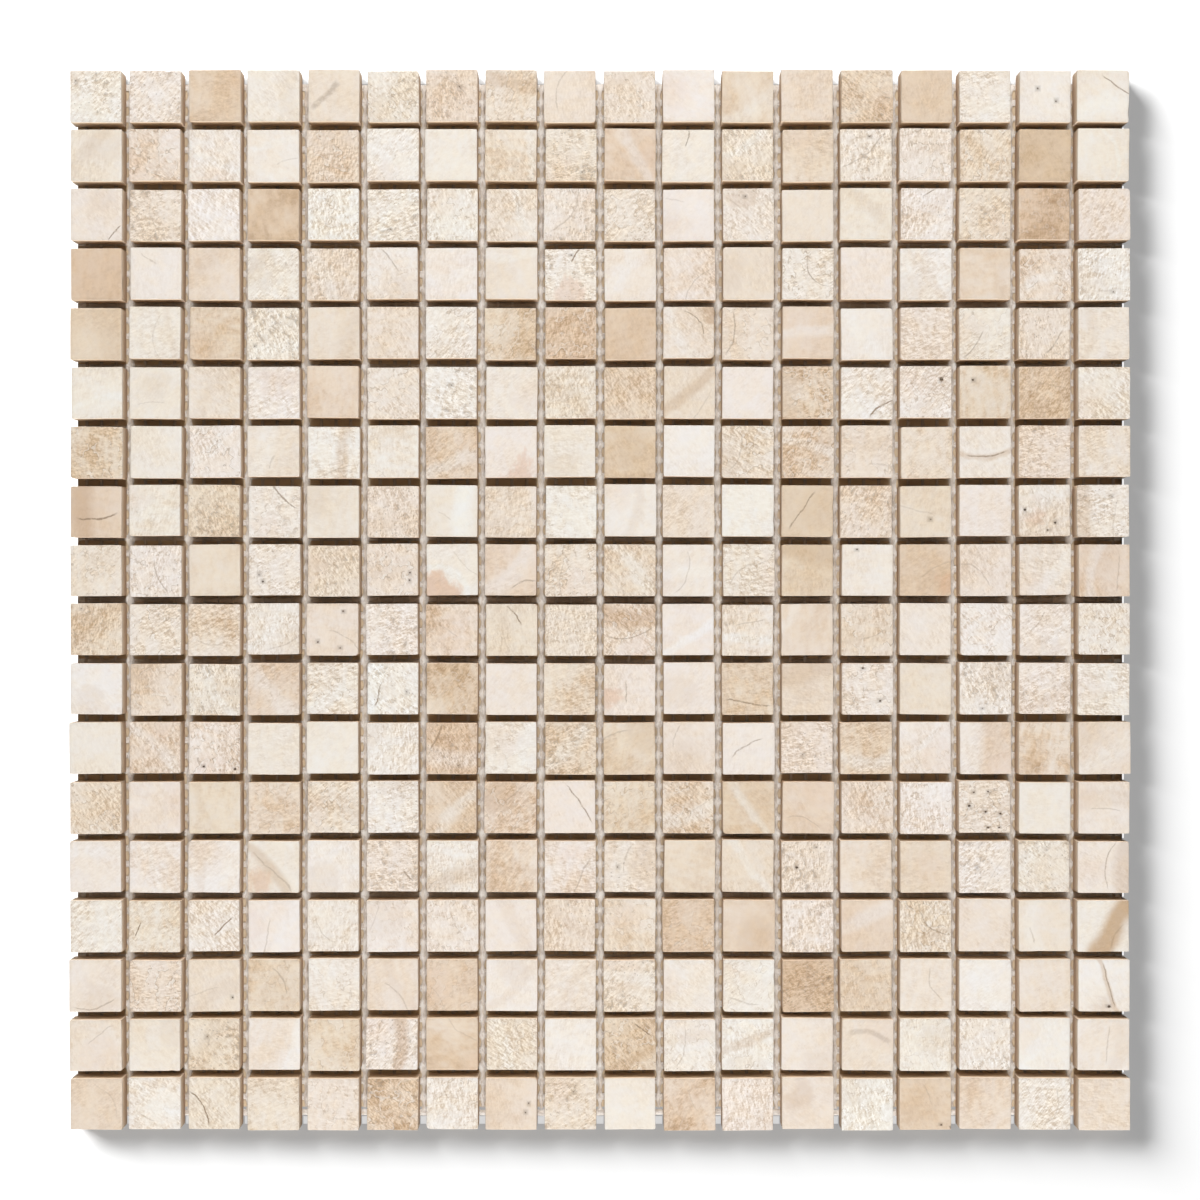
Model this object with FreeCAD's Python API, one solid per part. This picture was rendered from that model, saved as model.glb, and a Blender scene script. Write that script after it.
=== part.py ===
import FreeCAD, Part
import math
import os
import random

# A sheet of square marble chips, laid in straight rows on a backing mesh.
# It lies flat, honed faces up. Rows run along X, and the first row is the one furthest along +Y.
# All sizes are in millimetres and angles in degrees.

# Chips
row_count = 18
chips_per_row = 18
chip_side = 15.0
chip_thickness = 7.0
joint_width = 2.0
arris_bevel = 0.3

# How far a hand-laid chip strays from its place, its square stand and its sawn size
place_slack = 0.25
turn_slack = 0.55
side_slack = 0.18
lay_seed = 18

# Backing mesh: the warp runs along Y and the weft along X
warp_pitch = 4.25
warp_width = 1.2
warp_thickness = 0.25
weft_pitch = 4.5
weft_width = 2.0
weft_thickness = 0.25

# How far the mesh stops short of the outer chips, at the first and last row and at the two sides
mesh_inset_ends = 2.5
mesh_inset_sides = 0.6

# Worked out from the above
chip_pitch = chip_side + joint_width
field_x = chips_per_row * chip_pitch - joint_width
field_y = row_count * chip_pitch - joint_width
mesh_x = field_x - 2 * mesh_inset_sides
mesh_y = field_y - 2 * mesh_inset_ends
warp_underside = weft_thickness
chip_underside = weft_thickness + warp_thickness


def centred_places(count, pitch):
    """Centres of a run of like things, evenly spaced about zero."""
    return [(index - (count - 1) / 2) * pitch for index in range(count)]


def strand_places(span, pitch, width):
    """Centres of the strands that fit in a span, with one strand on the middle line."""
    each_side = math.floor((span - width) / 2 / pitch)
    return centred_places(2 * each_side + 1, pitch)


def stone_chip(side_x, side_y):
    """One sawn chip about its own middle, its honed face bounded by a narrow bevelled arris."""
    corner = FreeCAD.Vector(-side_x / 2, -side_y / 2, 0)
    block = Part.makeBox(side_x, side_y, chip_thickness, corner)
    face_edges = [edge for edge in block.Edges if edge.BoundBox.ZMin > chip_thickness / 2]
    return block.makeChamfer(arris_bevel, face_edges)


def laid_chip(place_x, place_y, hand):
    """A chip bedded on the mesh, a little off its place, its size and its square stand."""
    side_x = chip_side + hand.uniform(-side_slack, side_slack)
    side_y = chip_side + hand.uniform(-side_slack, side_slack)
    stray_x = hand.uniform(-place_slack, place_slack)
    stray_y = hand.uniform(-place_slack, place_slack)
    turn = hand.uniform(-turn_slack, turn_slack)
    chip = stone_chip(side_x, side_y)
    bed = FreeCAD.Vector(place_x + stray_x, place_y + stray_y, chip_underside)
    upright = FreeCAD.Vector(0, 0, 1)
    chip.Placement = FreeCAD.Placement(bed, FreeCAD.Rotation(upright, turn))
    return chip


def tile_row(place_y, hand):
    """One row of chips, side by side with open joints between them."""
    places = centred_places(chips_per_row, chip_pitch)
    return Part.makeCompound([laid_chip(place_x, place_y, hand) for place_x in places])


def strand(middle_x, middle_y, underside, size_x, size_y, thickness):
    """One flat resin-stiffened strand of the mesh."""
    corner = FreeCAD.Vector(middle_x - size_x / 2, middle_y - size_y / 2, underside)
    return Part.makeBox(size_x, size_y, thickness, corner)


def mesh_warp():
    """Strands along Y, which carry the chips face to face."""
    places = strand_places(mesh_x, warp_pitch, warp_width)
    strands = [strand(x, 0, warp_underside, warp_width, mesh_y, warp_thickness) for x in places]
    return Part.makeCompound(strands)


def mesh_weft():
    """Strands along X, under the warp and touching it face to face."""
    places = strand_places(mesh_y, weft_pitch, weft_width)
    strands = [strand(0, y, 0, mesh_x, weft_width, weft_thickness) for y in places]
    return Part.makeCompound(strands)


def build_sheet():
    """Every node of the sheet, by name."""
    hand = random.Random(lay_seed)
    nodes = {"mesh_warp": mesh_warp(), "mesh_weft": mesh_weft()}
    row_places = reversed(centred_places(row_count, chip_pitch))
    for number, place_y in enumerate(row_places, start=1):
        nodes[f"tile_row_{number:02d}"] = tile_row(place_y, hand)
    return nodes


os.makedirs("parts", exist_ok=True)
for name, shape in build_sheet().items():
    shape.exportStep(f"parts/{name}.step")
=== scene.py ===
import math
import random
import bmesh
import bpy
import numpy as np
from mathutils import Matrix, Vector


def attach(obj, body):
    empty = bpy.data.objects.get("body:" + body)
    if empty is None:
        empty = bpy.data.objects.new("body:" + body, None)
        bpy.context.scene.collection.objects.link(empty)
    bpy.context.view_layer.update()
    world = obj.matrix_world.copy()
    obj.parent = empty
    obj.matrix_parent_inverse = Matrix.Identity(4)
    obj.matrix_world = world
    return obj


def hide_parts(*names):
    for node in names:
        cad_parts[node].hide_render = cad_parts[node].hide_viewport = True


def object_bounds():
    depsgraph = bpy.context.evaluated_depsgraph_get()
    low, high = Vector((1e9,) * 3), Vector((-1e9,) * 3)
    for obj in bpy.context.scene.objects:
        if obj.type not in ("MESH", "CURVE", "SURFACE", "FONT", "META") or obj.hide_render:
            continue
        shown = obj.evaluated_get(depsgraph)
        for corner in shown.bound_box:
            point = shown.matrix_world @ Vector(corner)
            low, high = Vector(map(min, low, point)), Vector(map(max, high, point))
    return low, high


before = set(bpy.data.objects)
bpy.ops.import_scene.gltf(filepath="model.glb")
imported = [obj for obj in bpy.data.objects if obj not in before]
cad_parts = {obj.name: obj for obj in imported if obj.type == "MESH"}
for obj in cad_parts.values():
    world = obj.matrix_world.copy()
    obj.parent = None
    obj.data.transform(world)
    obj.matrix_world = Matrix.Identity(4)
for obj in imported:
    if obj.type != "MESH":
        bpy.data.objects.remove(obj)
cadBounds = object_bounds()
mm = 0.001


# Camera, straight above the middle of the sheet
cameraSetup = {
    "height": 641 * mm,       # above the honed faces
    "frameWidth": 344.0 * mm,  # what the picture takes in, at the honed faces
    "sensor": 36.0,
}


def addCamera():
    top = cadBounds[1][2]
    data = bpy.data.cameras.new("sheetCamera")
    data.sensor_width = cameraSetup["sensor"]
    data.lens = cameraSetup["sensor"] * cameraSetup["height"] / cameraSetup["frameWidth"]
    data.clip_start = 0.01
    camera = bpy.data.objects.new("sheetCamera", data)
    camera.location = (0, 0, top + cameraSetup["height"])
    bpy.context.scene.collection.objects.link(camera)
    bpy.context.scene.camera = camera


# Small helpers for node trees
def newNode(tree, kind, sockets=None, **settings):
    made = tree.nodes.new(kind)
    for name, value in settings.items():
        setattr(made, name, value)
    for name, value in (sockets or {}).items():
        if isinstance(value, bpy.types.NodeSocket):
            tree.links.new(value, made.inputs[name])
        else:
            made.inputs[name].default_value = value
    return made


def maths(tree, operation, a, b=0.0, c=0.0, clamp=False):
    made = newNode(tree, "ShaderNodeMath", {0: a, 1: b, 2: c}, operation=operation, use_clamp=clamp)
    return made.outputs[0]


def times(tree, a, b):
    return maths(tree, "MULTIPLY", a, b)


def timesPlus(tree, a, b, c, clamp=False):
    return maths(tree, "MULTIPLY_ADD", a, b, c, clamp)


def mixColour(tree, factor, a, b, blend="MIX"):
    made = newNode(tree, "ShaderNodeMix", {0: factor, 6: a, 7: b}, data_type="RGBA", blend_type=blend)
    return made.outputs[2]


def smoothBetween(tree, value, low, high, start=0.0, end=1.0):
    made = newNode(tree, "ShaderNodeMapRange", {0: value, 1: low, 2: high, 3: start, 4: end},
                   interpolation_type="SMOOTHSTEP")
    return made.outputs[0]


def noiseOf(tree, place, scale, detail=2.0, roughness=0.5, distortion=0.0):
    made = newNode(tree, "ShaderNodeTexNoise", {"Vector": place, "Scale": scale, "Detail": detail,
                                                "Roughness": roughness, "Distortion": distortion})
    return made.outputs["Fac"]


def stretched(tree, place, scale, rotation=(0, 0, 0)):
    made = newNode(tree, "ShaderNodeMapping", {"Vector": place, "Scale": scale, "Rotation": rotation})
    return made.outputs[0]


def attributeOf(tree, name):
    return newNode(tree, "ShaderNodeAttribute", attribute_name=name)


def partsOf(tree, vector):
    made = newNode(tree, "ShaderNodeSeparateXYZ", {0: vector})
    return made.outputs[0], made.outputs[1], made.outputs[2]


vectorSocket, numberSocket, colourSocket = "NodeSocketVector", "NodeSocketFloat", "NodeSocketColor"


def newGroup(name, inputs, outputs):
    group = bpy.data.node_groups.new(name, "ShaderNodeTree")
    for label, kind, value in inputs:
        socket = group.interface.new_socket(label, in_out="INPUT", socket_type=kind)
        if value is not None:
            socket.default_value = value
    for label, kind in outputs:
        group.interface.new_socket(label, in_out="OUTPUT", socket_type=kind)
    return group, group.nodes.new("NodeGroupInput"), group.nodes.new("NodeGroupOutput")


def useGroup(tree, group, sockets):
    return newNode(tree, "ShaderNodeGroup", sockets, node_tree=group)


def finishMaterial(name, colour, roughness, height, bump, fixed):
    # every material ends in one Principled shader, with its unchanging values set on the shader
    material = bpy.data.materials[name]
    tree = material.node_tree
    bumpNode = newNode(tree, "ShaderNodeBump", {"Height": height, "Strength": bump["strength"],
                                                "Distance": bump["distance"]})
    shader = newNode(tree, "ShaderNodeBsdfPrincipled", {"Base Color": colour, "Roughness": roughness,
                                                        "Normal": bumpNode.outputs[0]})
    for socket, value in fixed.items():
        shader.inputs[socket].default_value = value
    out = newNode(tree, "ShaderNodeOutputMaterial")
    tree.links.new(shader.outputs[0], out.inputs["Surface"])
    return material


def startMaterial(name):
    material = bpy.data.materials.new(name)
    material.use_nodes = True
    material.node_tree.nodes.clear()
    return material.node_tree


# Marble: each chip is cut from its own place in the slab. The ramp runs from calcite white to brown.
marbleRamp = (
    (0.00, (0.885, 0.840, 0.785, 1)),
    (0.25, (0.858, 0.780, 0.697, 1)),
    (0.50, (0.812, 0.698, 0.578, 1)),
    (0.75, (0.715, 0.552, 0.400, 1)),
    (1.00, (0.500, 0.345, 0.215, 1)),
)
marbleColours = {
    "calcite": (0.890, 0.870, 0.835, 1),
    "brownBand": (0.590, 0.420, 0.275, 1),
    "rust": (0.640, 0.330, 0.160, 1),
    "veinLine": (0.300, 0.215, 0.145, 1),
    "pore": (0.260, 0.205, 0.160, 1),
    "paintedPitShade": (0.110, 0.070, 0.040, 1),
    "darkFleckAndPaintedShade": (0.755, 0.690, 0.615, 1),  # this and the next five tint the stone; this and the next also carry the painted relief's shade and highlight
    "paleFleckAndPaintedHighlight": (1.145, 1.165, 1.190, 1),
    "pinkish": (1.002, 0.989, 1.000, 1),
    "yellowish": (0.996, 1.008, 0.992, 1),
    "warmer": (1.008, 0.998, 0.975, 1),
    "cooler": (0.992, 1.002, 1.025, 1),
    "wornArrisAndHighlight": (0.930, 0.880, 0.800, 1),
    "sawn": (0.870, 0.700, 0.520, 1),
    "foot": (0.610, 0.395, 0.240, 1),
}
marbleFinish = {  # scales are waves in a centimetre, and a share is how far one colour covers another
    "cloudScale": 0.85,
    "cloudletScale": 2.8,
    "cloudletShare": 0.75,        # how much the small clouds count beside the broad ones
    "grainScale": 5.7,
    "grainDetail": 2.6,
    "grainRoughness": 0.66,
    "grainContrast": (0.25, 0.75),
    "paintedReliefOffset": (0.034, 0.034, 0.0),  # from a curly mark to its pale lip, a painted highlight, in centimetres
    "paintedReliefStrength": 2.2,           # in plain stone, and twice that in the most mottled stone
    "poreEdge": 0.255,            # where the grain falls below this, the stone is open
    "poreGain": 0.14,             # added to the edge in the most porous stone
    "poreSoft": 0.04,
    "speckScale": 10.0,
    "speckChance": 0.6,           # in the most porous stone
    "speckEdge": (0.32, 0.18),    # where a speck starts and is full, from its middle
    "crackleScale": 1.9,
    "crackleEdge": (0.004, 0.032),
    "stainReach": 0.85,           # in half chips, as the widths of lines are
    "fineLine": 0.038,
    "broadLine": 0.148,
    "patchiness": (0.50, 1.20),   # of the grain and the pores
    "crackleShare": 0.50,
    "crackleHighlightShare": 0.45,
    "poreShare": 0.42,
    "paintedPitShadeShare": 0.85,
    "arrisEdge": (0.968, 0.990),  # in half chips from the middle
    "arrisShare": 0.6,
    "sideEdge": (0.90, 0.965),    # in chip heights
    "sawnShare": 0.72,
    "sawLines": 26.0,
    "sawShade": (0.88, 1.06),
    "roughness": 0.62,
    "poreRoughness": 0.25,        # these two are added to it
    "sawnRoughness": 0.3,
    "rippleScale": 9.0,
    "bump": {"strength": 0.5, "distance": 0.10 * mm},
    "fixed": {"Specular IOR Level": 0.06},
}


def signed(tree, value):
    return timesPlus(tree, value, 2.0, -1.0)


def greyOf(tree, value):
    return newNode(tree, "ShaderNodeCombineColor", {0: value, 1: value, 2: value}).outputs[0]


def makeCloudGroup():
    group, inp, out = newGroup("slabClouds", [
        ("Place", vectorSocket, None), ("Tone", numberSocket, 0.4), ("Cloud", numberSocket, 0.4),
    ], [("Color", colourSocket), ("Broad", numberSocket), ("Cloudlet", numberSocket)])
    broad = signed(group, noiseOf(group, inp.outputs["Place"], marbleFinish["cloudScale"], 1.0, 0.5))
    drawn = stretched(group, inp.outputs["Place"], (1.0, 1.9, 1.0))
    cloudlet = signed(group, noiseOf(group, drawn, marbleFinish["cloudletScale"], 2.0, 0.62))
    both = timesPlus(group, cloudlet, marbleFinish["cloudletShare"], broad)
    tone = timesPlus(group, both, inp.outputs["Cloud"], inp.outputs["Tone"], clamp=True)
    ramp = newNode(group, "ShaderNodeValToRGB", {0: tone})
    stops = ramp.color_ramp.elements
    stops[0].position, stops[0].color = marbleRamp[0]
    stops[1].position, stops[1].color = marbleRamp[-1]
    for position, colour in marbleRamp[1:-1]:
        stops.new(position).color = colour
    group.links.new(ramp.outputs[0], out.inputs["Color"])
    group.links.new(broad, out.inputs["Broad"])
    group.links.new(cloudlet, out.inputs["Cloudlet"])
    return group


def grainOf(tree, place):
    return noiseOf(tree, place, marbleFinish["grainScale"], marbleFinish["grainDetail"],
                   marbleFinish["grainRoughness"])


def makeGrainGroup():
    # the short curly marks of the stone, painted as relief with a painted highlight on one side and painted
    # shade on the other, slanting open pores and round specks
    group, inp, out = newGroup("stoneGrain", [
        ("Place", vectorSocket, None), ("Slant", numberSocket, 0.9), ("Broad", numberSocket, 0.0),
        ("Mottle", numberSocket, 0.5), ("Pores", numberSocket, 0.3),
    ], [("Tint", colourSocket), ("Worm", numberSocket), ("Pore", numberSocket)])
    turn = newNode(group, "ShaderNodeCombineXYZ", {2: inp.outputs["Slant"]}).outputs[0]
    turned = newNode(group, "ShaderNodeVectorRotate", {"Vector": inp.outputs["Place"], "Rotation": turn},
                     rotation_type="EULER_XYZ").outputs[0]
    drawn = stretched(group, turned, (1.0, 1.5, 1.0))
    worm = grainOf(group, drawn)
    # the grain a short step off, less the grain here, paints relief: painted highlight on one side of each
    # mark, painted shade on the other
    beside = newNode(group, "ShaderNodeVectorMath", {0: drawn, 1: marbleFinish["paintedReliefOffset"]},
                     operation="ADD").outputs[0]
    paintedRelief = maths(group, "SUBTRACT", grainOf(group, beside), worm)
    paintedRelief = times(group, paintedRelief, timesPlus(group, inp.outputs["Mottle"], marbleFinish["paintedReliefStrength"],
                                            marbleFinish["paintedReliefStrength"]))
    fleck = smoothBetween(group, worm, 0.32, 0.68, *marbleFinish["grainContrast"])
    fleck = maths(group, "ADD", paintedRelief, fleck, clamp=True)
    fleck = mixColour(group, fleck, marbleColours["darkFleckAndPaintedShade"], marbleColours["paleFleckAndPaintedHighlight"])
    tint = mixColour(group, inp.outputs["Mottle"], (1, 1, 1, 1), fleck)
    edge = timesPlus(group, inp.outputs["Pores"], marbleFinish["poreGain"], marbleFinish["poreEdge"])
    edge = timesPlus(group, inp.outputs["Broad"], 0.08, edge)
    pore = smoothBetween(group, worm, maths(group, "ADD", edge, marbleFinish["poreSoft"]), edge)
    cell = newNode(group, "ShaderNodeTexVoronoi", {"Vector": drawn, "Scale": marbleFinish["speckScale"]})
    draw = partsOf(group, cell.outputs["Color"])[0]
    chosen = maths(group, "LESS_THAN", draw, times(group, inp.outputs["Pores"], marbleFinish["speckChance"]))
    speck = smoothBetween(group, cell.outputs["Distance"], *marbleFinish["speckEdge"])
    pore = maths(group, "MAXIMUM", pore, times(group, speck, chosen))
    pore = times(group, pore, smoothBetween(group, inp.outputs["Pores"], 0.0, 0.3))
    group.links.new(tint, out.inputs["Tint"])
    group.links.new(worm, out.inputs["Worm"])
    group.links.new(pore, out.inputs["Pore"])
    return group


def makeCrackleGroup():
    group, inp, out = newGroup("crackleVeins", [
        ("Place", vectorSocket, None), ("Amount", numberSocket, 0.5), ("Cloudlet", numberSocket, 0.0),
    ], [("Line", numberSocket), ("Pale", numberSocket), ("Swing", numberSocket)])
    swing = signed(group, noiseOf(group, inp.outputs["Place"], marbleFinish["crackleScale"], 2.0, 0.66))
    gaps = times(group, smoothBetween(group, inp.outputs["Cloudlet"], -0.14, 0.14), inp.outputs["Amount"])
    line = smoothBetween(group, maths(group, "ABSOLUTE", swing), *marbleFinish["crackleEdge"], 1.0, 0.0)
    # a pale lip along one side of each line: painted highlight
    rise = smoothBetween(group, swing, 0.020, 0.055)
    fall = smoothBetween(group, swing, 0.150, 0.060)
    group.links.new(swing, out.inputs["Swing"])
    group.links.new(times(group, line, gaps), out.inputs["Line"])
    group.links.new(times(group, times(group, rise, fall), gaps), out.inputs["Pale"])
    return group


def makeVeinGroup():
    # one vein or band of a chip, about its own middle, along its own angle and bent by Curve
    group, inp, out = newGroup("slabVein", [
        ("Chip", vectorSocket, None), ("Middle", vectorSocket, None), ("Half", numberSocket, 3.0),
        ("Curve", numberSocket, 0.0), ("Width", numberSocket, 0.05), ("Sway", numberSocket, 0.0),
    ], [("Mask", numberSocket)])
    x, y, _ = partsOf(group, inp.outputs["Chip"])
    middleX, middleY, angle = partsOf(group, inp.outputs["Middle"])
    x = maths(group, "SUBTRACT", x, middleX)
    y = maths(group, "SUBTRACT", y, middleY)
    cosine = maths(group, "COSINE", angle)
    sine = maths(group, "SINE", angle)
    along = timesPlus(group, x, cosine, times(group, y, sine))
    across = maths(group, "SUBTRACT", times(group, y, cosine), times(group, x, sine))
    bend = times(group, times(group, along, along), inp.outputs["Curve"])
    across = maths(group, "ADD", maths(group, "SUBTRACT", across, bend), inp.outputs["Sway"])
    full = times(group, inp.outputs["Width"], 0.25)
    none = times(group, inp.outputs["Width"], 1.10)
    mask = smoothBetween(group, maths(group, "ABSOLUTE", across), full, none, 1.0, 0.0)
    ends = smoothBetween(group, maths(group, "ABSOLUTE", along), times(group, inp.outputs["Half"], 0.7),
                         inp.outputs["Half"], 1.0, 0.0)
    group.links.new(times(group, mask, ends), out.inputs["Mask"])
    return group


def makePatchGroup():
    group, inp, out = newGroup("stainPatch", [
        ("Chip", vectorSocket, None), ("Middle", vectorSocket, None),
        ("Reach", numberSocket, 0.7), ("Sway", numberSocket, 0.0),
    ], [("Mask", numberSocket)])
    away = newNode(group, "ShaderNodeVectorMath", {0: inp.outputs["Chip"], 1: inp.outputs["Middle"]},
                   operation="DISTANCE").outputs["Value"]
    away = maths(group, "ADD", away, inp.outputs["Sway"])
    full = times(group, inp.outputs["Reach"], 0.45)
    mask = smoothBetween(group, away, full, inp.outputs["Reach"], 1.0, 0.0)
    group.links.new(mask, out.inputs["Mask"])
    return group


def plusAndMinus(tree, value):
    # how far a signed amount lies above and below zero
    return maths(tree, "MAXIMUM", value, 0.0), maths(tree, "MAXIMUM", times(tree, value, -1.0), 0.0)


def makeMarble():
    tree = startMaterial("honedMarble")
    place = attributeOf(tree, "slabPlace").outputs["Vector"]
    chip = attributeOf(tree, "chipPlace").outputs["Vector"]
    paintedPitShade = attributeOf(tree, "pitShade").outputs["Fac"]
    hue = attributeOf(tree, "chipHue").outputs["Fac"]
    tone, cloud, mottle = partsOf(tree, attributeOf(tree, "chipTone").outputs["Vector"])
    pores, crackle, slant = partsOf(tree, attributeOf(tree, "chipMarks").outputs["Vector"])
    bandWidth, bandCurve, bandStrength = partsOf(tree, attributeOf(tree, "chipBandForm").outputs["Vector"])
    lineHalf, lineCurve, lineStrength = partsOf(tree, attributeOf(tree, "chipLineForm").outputs["Vector"])
    patchX, patchY, patchKind = partsOf(tree, attributeOf(tree, "chipPatch").outputs["Vector"])
    chipX, chipY, chipZ = partsOf(tree, chip)
    flat = newNode(tree, "ShaderNodeCombineXYZ", {0: chipX, 1: chipY}).outputs[0]

    def paint(share, under, over):
        return mixColour(tree, share, under, marbleColours[over])

    def tinted(under, tint):
        return mixColour(tree, 1.0, under, tint, "MULTIPLY")

    # clouds, then stains with ragged edges
    clouds = useGroup(tree, makeCloudGroup(), {"Place": place, "Tone": tone, "Cloud": cloud})
    colour, broad, cloudlet = (clouds.outputs[name] for name in ("Color", "Broad", "Cloudlet"))
    raggedEdge = timesPlus(tree, cloudlet, 0.55, times(tree, broad, 0.9))
    patchMiddle = newNode(tree, "ShaderNodeCombineXYZ", {0: patchX, 1: patchY}).outputs[0]
    patch = useGroup(tree, makePatchGroup(), {"Chip": flat, "Middle": patchMiddle, "Sway": raggedEdge,
                                              "Reach": marbleFinish["stainReach"]}).outputs["Mask"]
    brownPatch, rustPatch = plusAndMinus(tree, patchKind)
    colour = paint(times(tree, patch, brownPatch), colour, "brownBand")
    colour = paint(times(tree, patch, rustPatch), colour, "rust")

    # one broad band, white or brown
    slabVein = makeVeinGroup()
    bandSway = timesPlus(tree, cloudlet, 0.06, times(tree, broad, 0.30))
    band = useGroup(tree, slabVein, {"Chip": flat, "Middle": attributeOf(tree, "chipBand").outputs["Vector"],
                                     "Curve": bandCurve, "Width": bandWidth,
                                     "Sway": bandSway}).outputs["Mask"]
    whiteBand, brownBand = plusAndMinus(tree, bandStrength)
    colour = paint(times(tree, band, whiteBand), colour, "calcite")
    colour = paint(times(tree, band, brownBand), colour, "brownBand")

    # the grain and the pores come in patches
    both = maths(tree, "ADD", broad, cloudlet)
    patchy = smoothBetween(tree, both, -0.35, 0.35, *marbleFinish["patchiness"])
    grain = useGroup(tree, makeGrainGroup(), {"Place": place, "Slant": slant, "Broad": broad,
                                              "Mottle": times(tree, mottle, patchy),
                                              "Pores": times(tree, pores, patchy)})
    colour = tinted(colour, grain.outputs["Tint"])
    colour = tinted(colour, mixColour(tree, hue, marbleColours["pinkish"], marbleColours["yellowish"]))

    # each crackle line has a pale lip along one side, which is a painted highlight, and the stone is warmer
    # on the other
    crack = useGroup(tree, makeCrackleGroup(), {"Place": place, "Amount": crackle, "Cloudlet": cloudlet})
    warmth = smoothBetween(tree, crack.outputs["Swing"], 0.30, -0.30)
    colour = tinted(colour, mixColour(tree, warmth, marbleColours["cooler"], marbleColours["warmer"]))
    colour = paint(times(tree, crack.outputs["Pale"], marbleFinish["crackleHighlightShare"]), colour, "calcite")

    # one vein: a fine line, or a broad one where its strength is below zero
    broader = marbleFinish["broadLine"] - marbleFinish["fineLine"]
    isBroad = maths(tree, "LESS_THAN", lineStrength, 0.0)
    lineWidth = timesPlus(tree, isBroad, broader, marbleFinish["fineLine"])
    lineSway = timesPlus(tree, cloudlet, 0.06, times(tree, broad, 0.25))
    line = useGroup(tree, slabVein, {"Chip": flat, "Middle": attributeOf(tree, "chipLine").outputs["Vector"],
                                     "Half": lineHalf, "Curve": lineCurve, "Width": lineWidth,
                                     "Sway": lineSway}).outputs["Mask"]
    faint = smoothBetween(tree, grain.outputs["Worm"], 0.30, 0.55, 0.45, 1.0)
    line = times(tree, line, times(tree, maths(tree, "ABSOLUTE", lineStrength), faint))
    drawn = maths(tree, "MAXIMUM", times(tree, crack.outputs["Line"], marbleFinish["crackleShare"]), line)
    colour = paint(drawn, colour, "veinLine")
    pore = grain.outputs["Pore"]
    colour = paint(times(tree, pore, marbleFinish["poreShare"]), colour, "pore")
    # painted shade inside the pits and on their lips
    colour = paint(times(tree, paintedPitShade, marbleFinish["paintedPitShadeShare"]), colour, "paintedPitShade")

    # sides and back, which are sawn: warmer, with saw lines painted as light and shade, browner towards the
    # foot; the arris is paler, partly from wear and partly as a painted highlight
    # a paler band along the rim of the face: partly wear, partly a painted highlight on the arris
    rim = maths(tree, "MAXIMUM", maths(tree, "ABSOLUTE", chipX), maths(tree, "ABSOLUTE", chipY))
    wornAndHighlit = smoothBetween(tree, timesPlus(tree, broad, 0.012, rim), *marbleFinish["arrisEdge"], 0.0,
                         marbleFinish["arrisShare"])
    colour = paint(wornAndHighlit, colour, "wornArrisAndHighlight")
    side = smoothBetween(tree, chipZ, *marbleFinish["sideEdge"], 1.0, 0.0)
    # saw lines on the sides, painted as stripes of light and shade
    saw = noiseOf(tree, stretched(tree, chip, (1.0, 1.0, marbleFinish["sawLines"])), 1.5, 1.0, 0.6)
    footwards = smoothBetween(tree, chipZ, 0.70, 0.05)
    sawn = mixColour(tree, footwards, marbleColours["sawn"], marbleColours["foot"])
    sawn = mixColour(tree, marbleFinish["sawnShare"], colour, sawn)
    sawn = tinted(sawn, greyOf(tree, smoothBetween(tree, saw, 0.3, 0.7, *marbleFinish["sawShade"])))
    colour = mixColour(tree, side, colour, sawn)

    roughness = timesPlus(tree, cloudlet, 0.05, marbleFinish["roughness"])
    roughness = timesPlus(tree, pore, marbleFinish["poreRoughness"], roughness)
    roughness = timesPlus(tree, side, marbleFinish["sawnRoughness"], roughness, clamp=True)
    ripple = noiseOf(tree, place, marbleFinish["rippleScale"], 1.0, 0.6)
    return finishMaterial("honedMarble", colour, roughness, ripple, marbleFinish["bump"],
                          marbleFinish["fixed"])


yarnFinish = {
    "shade": (0.640, 0.595, 0.550, 1),
    "fibre": (0.900, 0.875, 0.835, 1),
    "glue": (0.560, 0.450, 0.320, 1),
    "soaked": (0.380, 0.285, 0.190, 1),
    "glueShare": 0.35,
    "roughness": (0.55, 0.32),  # dry, and under a drop of glue
    "bump": {"strength": 0.4, "distance": 0.05 * mm},
    "fixed": {"Specular IOR Level": 0.5},
}


def makeYarn():
    # bare yarn in the joints that run up the sheet, yarn soaked in glue under the chips
    tree = startMaterial("glassYarn")
    place = attributeOf(tree, "yarnPlace").outputs["Vector"]
    soaked = attributeOf(tree, "yarnSoaked").outputs["Fac"]
    fibres = noiseOf(tree, stretched(tree, place, (1.3, 0.5, 1.0)), 1.7, 2.0, 0.65)
    glue = smoothBetween(tree, noiseOf(tree, place, 1.1, 2.0, 0.6), 0.48, 0.66)
    lit = smoothBetween(tree, fibres, 0.36, 0.56)
    colour = mixColour(tree, lit, yarnFinish["shade"], yarnFinish["fibre"])
    colour = mixColour(tree, times(tree, glue, yarnFinish["glueShare"]), colour, yarnFinish["glue"])
    colour = mixColour(tree, soaked, colour, yarnFinish["soaked"])
    roughness = smoothBetween(tree, glue, 0.0, 1.0, *yarnFinish["roughness"])
    return finishMaterial("glassYarn", colour, roughness, fibres, yarnFinish["bump"], yarnFinish["fixed"])


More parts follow.
